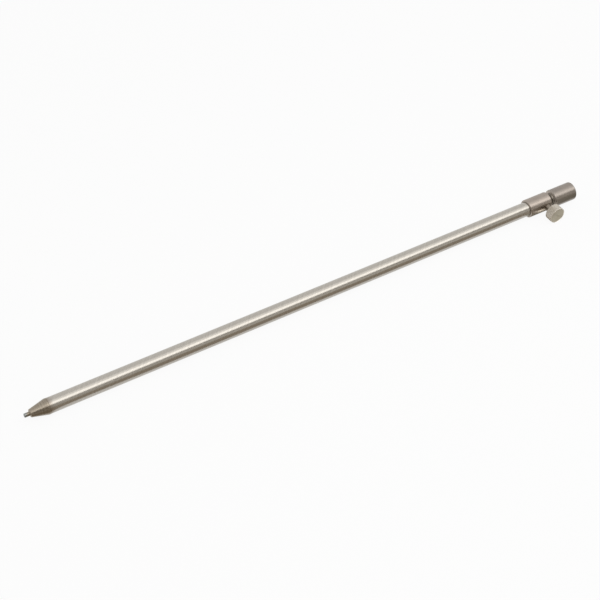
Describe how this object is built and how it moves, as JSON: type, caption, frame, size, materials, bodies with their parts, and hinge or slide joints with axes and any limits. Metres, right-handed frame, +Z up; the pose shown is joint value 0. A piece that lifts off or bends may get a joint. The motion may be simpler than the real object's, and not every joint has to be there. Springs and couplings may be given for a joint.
{
  "type": "telescopic bank stick",
  "caption": "Telescopic stainless steel bank stick: spiked outer tube, clamp collar with knurled thumb screw, sliding inner tube and a threaded head for a rod rest or bite alarm.",
  "frame": {"origin": "on the ground, under the middle of the stick's box, with the stick lying pushed in", "axes": "+X along the stick from the spike to the head, +Z up, and the thumb screw toward -Y"},
  "size_m": [0.6624, 0.0372, 0.0204],
  "materials": {
    "pin_steel": "bright turned",
    "turned_steel": "satin, with fine turning marks",
    "tube_steel": "satin, drawn tube",
    "collar_steel": "satin, turned",
    "knob_steel": "straight knurled rim and turned face",
    "nylon": "natural nylon",
    "seal_rubber": "matt black",
    "pad_brass": "turned"
  },
  "bodies": {
    "outer_stick": {"spike_pin": "pin_steel", "spike_cone": "turned_steel", "outer_tube": "tube_steel", "clamp_collar": "collar_steel", "guide_bush": "nylon", "collar_seal": "seal_rubber", "screw_boss": "collar_steel"},
    "foot": {"foot_bush": "nylon"},
    "inner_stick": {"inner_tube": "tube_steel", "foot_plug": "nylon", "head": "turned_steel"},
    "pad": {"screw_pad": "pad_brass"},
    "thumb_screw": {"thumb_stud": "collar_steel", "thumb_knob": "knob_steel"}
  },
  "joints": [
    {"name": "stick_slide", "type": "slide", "parent": "outer_stick", "child": "foot", "axis": [1, 0, 0], "range_m": [-0.0058, 0.44]},
    {"name": "stick_turn", "type": "hinge", "parent": "foot", "child": "inner_stick", "pos_m": [0.3, 0.00843, 0.0102], "axis": [1, 0, 0], "continuous": true},
    {"name": "pad_travel", "type": "slide", "parent": "outer_stick", "child": "pad", "axis": [0, -0.9995, -0.0308], "range_m": [0, 0.0024]},
    {"name": "screw_turn", "type": "hinge", "parent": "pad", "child": "thumb_screw", "pos_m": [0.29063, 0.00843, 0.0102], "axis": [0, -0.9995, -0.0308], "range_deg": [0, 1080]}
  ],
  "couplings": [
    {"joint": "screw_turn", "follows": "pad_travel", "rad_per_m": 7854}
  ]
}
